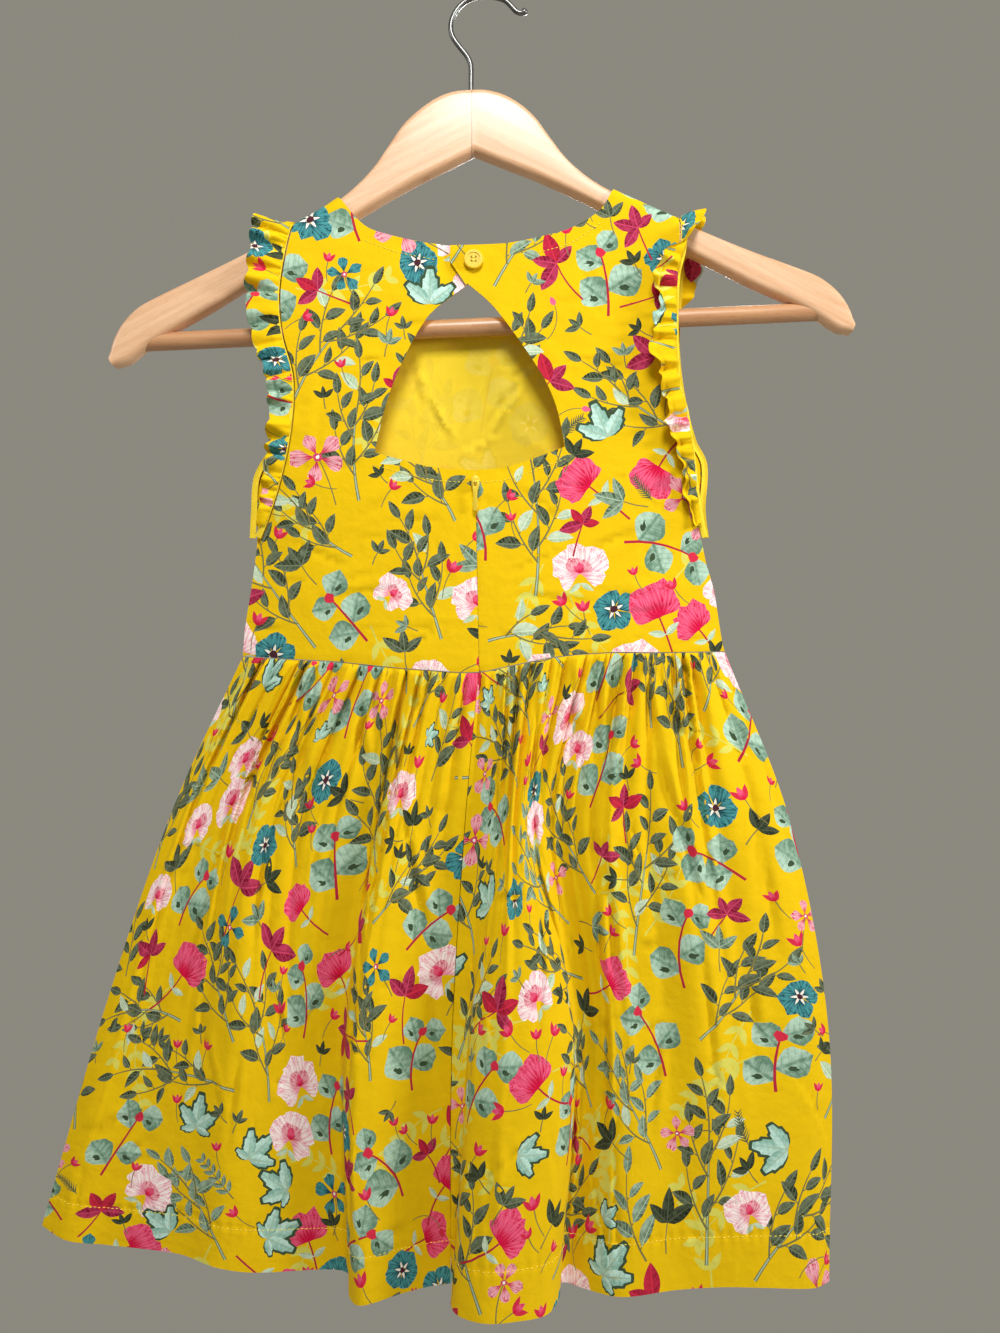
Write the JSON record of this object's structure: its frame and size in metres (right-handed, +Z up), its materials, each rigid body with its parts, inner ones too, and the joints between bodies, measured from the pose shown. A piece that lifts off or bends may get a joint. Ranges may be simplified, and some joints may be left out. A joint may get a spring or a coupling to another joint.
{
  "type": "sundress on a wooden coat hanger",
  "caption": "Child's sleeveless sundress with frilled armholes, a cut-out back and a gathered skirt, hanging from a wooden coat hanger with a wire hook.",
  "frame": {"origin": "the hanging point, where the top of the hook's arc rests on what holds it", "axes": "+Z up; the back of the dress faces -Y and its front faces +Y; +X is the wearer's right side"},
  "size_m": [0.4797, 0.0772, 0.7613],
  "materials": {
    "printed_cloth": "matt woven cotton, printed with flowers and leaves",
    "plain_cloth": "matt woven cotton",
    "beech_arms": "satin lacquer",
    "beech_bar": "satin lacquer",
    "steel_wire": "drawn wire",
    "zip_paint": "satin paint",
    "button_plastic": "polished"
  },
  "bodies": {
    "garment": {"binding_left": "plain_cloth", "binding_right": "plain_cloth", "bodice_back_left": "printed_cloth", "bodice_back_right": "printed_cloth", "bodice_front": "printed_cloth", "bodice_front_lining": "plain_cloth", "button": "button_plastic", "frill_left": "printed_cloth", "frill_right": "printed_cloth", "hanger_bar": "beech_bar", "hanger_body": "beech_arms", "hanger_hook": "steel_wire", "skirt_back_left": "printed_cloth", "skirt_back_right": "printed_cloth", "skirt_front": "printed_cloth", "zip_slider": "zip_paint", "zip_tape_left": "plain_cloth", "zip_tape_right": "plain_cloth"},
    "pull": {"zip_pull": "zip_paint"}
  },
  "joints": [
    {"name": "pull_swing", "type": "hinge", "parent": "garment", "child": "pull", "pos_m": [-0.00564, -0.0171, -0.2884], "axis": [-1, 0, 0], "range_deg": [0, 170]}
  ]
}
